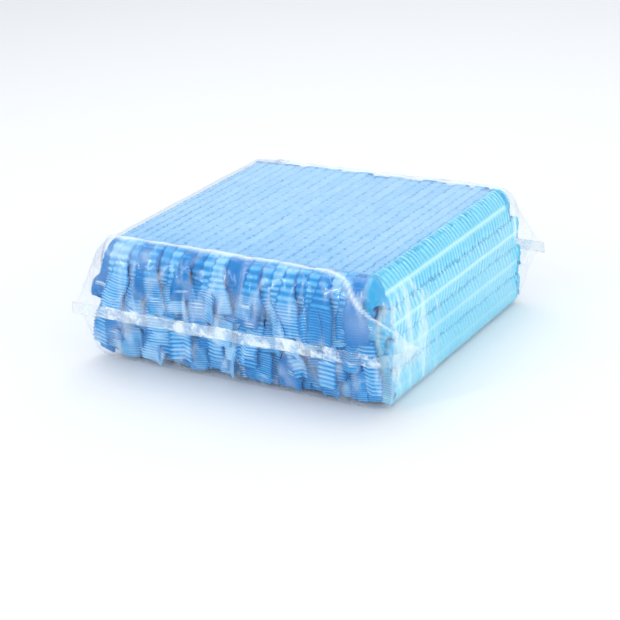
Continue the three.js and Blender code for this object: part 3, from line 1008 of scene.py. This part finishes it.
def film_corners(side, step, share):
    """One ring's eight corners: upper left and right, shoulder, tip and lower corner, and back up."""
    half = STRIP_STRAIGHT / 2
    if side:
        drop, rise = TOP_DOWN[step], FLOOR_RISE[step]
        y_top, y_low = side * (half + TOP_OUT[step]), side * (half + FLOOR_OUT[step])
        spare = math.sqrt(max(0.0, 1 - (1 - drop / FULL_DROP) ** 2))
        bulge = 0.0
    else:
        drop = rise = spare = 0.0
        y_top = y_low = share * half
        bulge = FILM_BULGE * (1 - share * share)
    z_top, z_low = film_high[2] - drop, film_low[2] + FLOOR_GAP + rise
    y_mid = (y_top + y_low) / 2
    inset = SHOULDER_LEAN * (1 - 0.5 * spare)
    corners = []
    for lateral in (1, -1):
        top = np.array((lateral * (FILM_HALF_WIDTH - inset), y_top, z_top))
        low = np.array((lateral * FILM_HALF_WIDTH, y_low, z_low))
        if side == 0 or lateral == side:
            tip = np.array((lateral * (FILM_HALF_WIDTH + bulge + EAR_REACH * spare), y_mid, SEAL_Z))
        else:
            stand = FILM_HALF_WIDTH + FLAP_STAND * spare
            back = y_mid - side * FLAP_REACH * spare
            tip = np.array((lateral * stand, back, SEAL_Z - FLAP_DROP * spare))
        shoulder = top + (tip - top) * 0.4 + np.array((lateral * 0.6 * inset * (1 - spare), 0.0, 0.0))
        corners.append((top, shoulder, tip, low))
    right, left = corners
    return [left[0], right[0], right[1], right[2], right[3], left[3], left[2], left[1]]


film_plan = [(-1, step, 0.0) for step in range(END_RINGS - 1, -1, -1)]
flap_from = 1 - SIDE_FLAP / (STRIP_STRAIGHT / 2)
body_shares = np.concatenate([
    np.linspace(-1, -flap_from, FLAP_RINGS, endpoint=False),
    np.linspace(-flap_from, flap_from, MIDDLE_RINGS, endpoint=False),
    np.linspace(flap_from, 1, FLAP_RINGS),
])
film_plan += [(0, 0, share) for share in body_shares]
film_plan += [(1, step, 0.0) for step in range(END_RINGS)]


def film_ring(side, step, share):
    corners = film_corners(side, step, share)
    stretches = []
    for k, count in enumerate(CORNER_POINTS):
        start, stop = corners[k], corners[(k + 1) % len(corners)]
        stretches.append(start + (stop - start) * np.linspace(0, 1, count, endpoint=False)[:, None])
    return np.concatenate(stretches)


film_points = np.stack([film_ring(*row) for row in film_plan])
end_share = np.array([(step + 1) / END_RINGS if side else 0.0 for side, step, share in film_plan])
print("film rings", film_points.shape, "round the end", round(TOP_ARC, 3), "m")

# %% [markdown]
# ### Creases in the film
#
# Thin film never lies quite flat. It gathers towards the weld, breaks in long folds at the corners, and
# where the top turns down it stands up in one sharp wavy ridge, the brightest line on the bag. The corners
# are softened first. Then every point moves along the film's own normal by uneven noise, which is
# folded at zero so that it makes sharp ridges, as creased film does.

# %% Creases in the film
RIDGE_PLACE = 0.08
RIDGE_WAVE = 0.07
RIDGE_FALL = 0.5
RIDGE_FALL_FROM = 55 * MM
RIDGE_HALF_WIDTH = 0.026
RIDGE_HEIGHT = 1.3 * MM
CRUMPLE = 1.5 * MM
FLAP_PLEATS = 1.3 * MM
SLACK = 0.35 * MM


def soften_rings(points, passes, amount):
    for _ in range(passes):
        beside = (np.roll(points, 1, axis=1) + np.roll(points, -1, axis=1)) / 2
        points = points + (beside - points) * amount[:, None, None]
    return points


def surface_normals(points):
    along = np.gradient(points, axis=0)
    around = np.roll(points, -1, axis=1) - np.roll(points, 1, axis=1)
    normal = np.cross(around, along)
    return normal / np.maximum(np.linalg.norm(normal, axis=2, keepdims=True), 1e-12)


def noise_field(points, cell, seed):
    """Smooth noise from -1 to 1 at every point, in cells of the given size along X, Y and Z."""
    shift = Vector((seed * 3.1, seed * 1.7, seed * 5.3))
    flat = (points / np.array(cell)).reshape(-1, 3)
    values = [noise.noise(Vector(place) + shift) for place in flat]
    return np.array(values).reshape(points.shape[:-1])


def ridged(points, cell, seed):
    return 1.0 - 3.0 * np.abs(noise_field(points, cell, seed))


def side_flap(points):
    """Where the film folded back at two corners lies along the side, from 0 to 1."""
    from_end = STRIP_STRAIGHT / 2 - np.abs(points[..., 1])
    reach = SIDE_FLAP * (0.95 - 0.5 * eased(points[..., 2], 45 * MM, 78 * MM))
    reach = reach + 5 * MM * noise_field(points * (0, 0, 1), (1, 1, 0.02), 11)
    folded = np.sign(points[..., 0]) != np.sign(points[..., 1])
    outside = eased(np.abs(points[..., 0]), FILM_HALF_WIDTH - 4 * MM, FILM_HALF_WIDTH - 1 * MM)
    return folded * outside * (1 - eased(from_end, reach - 4 * MM, reach))


def crease_film(points):
    normal = surface_normals(points)
    flap = side_flap(points)
    towards_weld = eased(end_share, 0.1, 0.6)[:, None]
    high = eased(points[..., 2], 1.5 * MM, 8 * MM)
    crumple = ridged(points, (0.013, 0.02, 0.04), 1) + 0.5 * ridged(points, (0.006, 0.012, 0.02), 2)
    slack = noise_field(points, (0.05, 0.09, 0.05), 3) + 0.5 * ridged(points, (0.03, 0.06, 0.02), 4)
    height = CRUMPLE * 0.6 * crumple * towards_weld + SLACK * slack * (1 - towards_weld)
    along = points * (1, 0, 0)
    to_flap = -np.sign(points[..., 1]) * points[..., 0]
    place = RIDGE_PLACE + RIDGE_WAVE * noise_field(along, (0.045, 1, 1), 5)
    place = place + 0.03 * noise_field(along, (0.009, 1, 1), 14)
    place = place + RIDGE_FALL * eased(to_flap, RIDGE_FALL_FROM, FILM_HALF_WIDTH) ** 2
    half = RIDGE_HALF_WIDTH * (1.0 + 1.1 * noise_field(along, (0.012, 1, 1), 9))
    ridge = np.exp(-(((end_share[:, None] - place) / half) ** 2)) * (end_share > 0)[:, None]
    upper = eased(points[..., 2], SEAL_Z, SEAL_Z + 15 * MM)
    height = height + RIDGE_HEIGHT * ridge * upper
    pleats = ridged(points, (1, 0.0065, 0.06), 12) + 0.6 * ridged(points, (1, 0.0038, 0.03), 13)
    height = height + FLAP_PLEATS * flap * (0.7 + 0.5 * pleats)
    moved = points + normal * (height * high)[..., None]
    moved[..., 2] = np.maximum(moved[..., 2], film_low[2] + FLOOR_GAP * 0.7)
    return moved, ridge * upper, crumple, flap * np.clip(0.2 + 1.7 * (pleats - 0.75), 0.16, 1)


keep_sharp = np.where(end_share > 0, 0.5 * (1 - end_share), 0.5)
film_points = soften_rings(film_points, 12, keep_sharp)
smooth_film = film_points
film_points, film_ridge, film_crumple, film_pleats = crease_film(smooth_film)
print("film box", film_points.min(axis=(0, 1)).round(4), film_points.max(axis=(0, 1)).round(4))

# %% [markdown]
# ### The film's mesh
#
# The film's mesh starts as a grid again, rolled up and joined along its seam, with its ends left open at
# the weld. Two values go on its points for the material. The front, the back and the corners are crumpled,
# and the ridge, the folded flap and its pleats and the puckers are painted white as painted highlights and
# glints, with some broad whitish patches towards the ends.

# %% The film's mesh
def sheet_mesh(name, points, closed_round, values):
    rings, around = points.shape[:2]
    bm = bmesh.new()
    for key in values:
        bm.verts.layers.float.new(key)
    columns = around if closed_round else around - 1
    bmesh.ops.create_grid(bm, x_segments=rings - 1, y_segments=columns, size=1.0)
    layers = {key: bm.verts.layers.float[key] for key in values}
    for vert in bm.verts:
        i = round((vert.co.x + 1) / 2 * (rings - 1))
        j = round((vert.co.y + 1) / 2 * columns) % around
        vert.co = points[i, j]
        for key, layer in layers.items():
            vert[layer] = float(values[key][i, j])
    if closed_round:
        bmesh.ops.remove_doubles(bm, verts=bm.verts, dist=1e-7)
    for face in bm.faces:
        face.smooth = True
    mesh = bpy.data.meshes.new(name)
    bm.to_mesh(mesh)
    bm.free()
    return mesh


def add_wall(piece, thickness):
    wall = piece.modifiers.new("wall", "SOLIDIFY")
    wall.thickness = thickness
    wall.offset = 0.0


FILM_WALL = 0.1 * MM
# How white the flap's pleats are painted, a painted highlight.
FLAP_HIGHLIGHT = 0.3
beside = eased(np.abs(smooth_film[..., 0]), FILM_HALF_WIDTH - 3 * MM, FILM_HALF_WIDTH)
near_end = eased(np.abs(smooth_film[..., 1]), 50 * MM, 86 * MM)
towards_end = eased(end_share, 0.0, 0.35)[:, None]
sideways = np.abs(smooth_film[..., 0])
clear_of_ear = 1 - 0.85 * eased(sideways, FILM_HALF_WIDTH + 2 * MM, FILM_HALF_WIDTH + 8 * MM)
crumpled = np.clip(0.05 + 0.9 * towards_end + 0.35 * beside * near_end + 0.12 * beside, 0, 1) * clear_of_ear
folded = (np.sign(smooth_film[..., 0]) != np.sign(smooth_film[..., 1])) & (end_share[:, None] > 0)
flap = folded * beside * eased(end_share, 0.1, 0.5)[:, None]
above_floor = eased(smooth_film[..., 2], 4 * MM, 16 * MM)
# Painted glints: puckered film towards the ends is painted white.
pucker_glints = np.clip(film_crumple - 0.7, 0, 1) * towards_end * clear_of_ear * above_floor
fog = np.clip(noise_field(smooth_film, (0.03, 0.03, 0.02), 15) - 0.12, 0, 1) * towards_end * above_floor
# Painted highlight along the ridge and on the flap's pleats, painted glints at the puckers, and broad whitish
# patches.
whitened_and_glints = 0.5 * film_ridge * clear_of_ear + 0.06 * flap + 0.24 * pucker_glints
whitened_and_glints = whitened_and_glints + FLAP_HIGHLIGHT * film_pleats * (1 - 0.6 * towards_end)
whitened_and_glints = whitened_and_glints + 0.2 * fog * clear_of_ear
crumpled = np.maximum(crumpled, film_pleats)
film_values = {"crumpled": crumpled, "whitened_and_glints": np.clip(whitened_and_glints, 0, 1)}
film_mesh = sheet_mesh("film_bag", film_points, True, film_values)
film = add_piece("film_bag", film_mesh, film_material, ["bag_film"])
add_wall(film, FILM_WALL)
print("film", len(film_mesh.polygons), "faces")

# %% [markdown]
# ## The welded bands
#
# Each end of the bag is a weld: two layers of film pressed into one band, about 8 mm deep, that crosses the
# end from the tip of the ear to the folded flap and turns the corner with it. It ripples with the tails
# behind it. A flat strip of points follows that route, and a thin wall makes it a band.

# %% The welded bands
BAND_STEPS = 260
BAND_ROWS = 9
BAND_DEPTH = 8 * MM
BAND_STAND = 0.9 * MM
TURN_RADIUS = 3 * MM


def band_route(side):
    """The band's line in plan, from the ear's tip along the end and back along the folded flap."""
    corner = FILM_HALF_WIDTH + BAND_STAND - TURN_RADIUS
    front = FILM_END + BAND_STAND
    turn = np.linspace(0, math.pi / 2, 12)
    x = [-FILM_HALF_WIDTH - EAR_REACH, *(corner + TURN_RADIUS * np.sin(turn))]
    y = [front, *(front - TURN_RADIUS * (1 - np.cos(turn)))]
    x.append(FILM_HALF_WIDTH + FLAP_STAND)
    y.append(FILM_END - 0.8 * FLAP_REACH)
    steps = np.hypot(np.diff(x), np.diff(y))
    along = np.concatenate([[0.0], np.cumsum(steps)])
    wanted = np.linspace(0.0, along[-1], BAND_STEPS)
    return wanted, -side * np.interp(wanted, along, x), side * np.interp(wanted, along, y)


def band_points(side):
    along, x, y = band_route(side)
    route = np.stack([x, y], axis=1)
    ahead = np.gradient(route, axis=0)
    outwards = np.stack([ahead[:, 1], -ahead[:, 0]], axis=1) / np.linalg.norm(ahead, axis=1)[:, None]
    outwards *= np.sign((outwards * route).sum(axis=1))[:, None]
    down = np.linspace(0, 1, BAND_ROWS)
    across_band = np.repeat(along[:, None], BAND_ROWS, 1)
    down_band = np.repeat(down[None] * BAND_DEPTH, BAND_STEPS, 0)
    grid = np.stack([across_band, down_band], 2)
    spots = np.concatenate([grid, np.full(grid.shape[:2] + (1,), 0.01 * side)], axis=2)
    ripple = 0.9 * MM * noise_field(spots, (0.03, 0.05, 1), 6)
    ripple = ripple + 0.5 * MM * ridged(spots, (0.009, 0.012, 1), 7)
    place = route[:, None, :] + outwards[:, None, :] * (ripple + 0.8 * MM * down)[..., None]
    edge = 0.8 * MM * noise_field(spots * (1, 0, 0), (0.02, 1, 1), 8)
    past_corner = np.clip((FILM_END - np.abs(route[:, 1])) / (0.8 * FLAP_REACH), 0, 1)
    z = SEAL_Z + 1.4 * MM + edge - BAND_DEPTH * down - FLAP_DROP * past_corner[:, None]
    return np.concatenate([place, z[..., None]], axis=2)


for side, node in ((-1, "bag_seal_front"), (1, "bag_seal_back")):
    points = band_points(side)
    full = np.ones(points.shape[:2])
    ear = eased(np.abs(points[..., 0]), FILM_HALF_WIDTH, FILM_HALF_WIDTH + 10 * MM)
    faded = eased(-side * points[..., 0], 45 * MM, 95 * MM)
    turned = eased(FILM_END - np.abs(points[..., 1]), 2 * MM, 12 * MM)
    band_values = {"crumpled": full, "whitened_and_glints": -0.3 * ear - 0.25 * faded - 0.4 * turned}
    band_mesh = sheet_mesh(node.replace("bag_seal", "weld_band"), points, False, band_values)
    band = add_piece(band_mesh.name, band_mesh, weld_material, [node])
    add_wall(band, 2 * FILM_WALL)
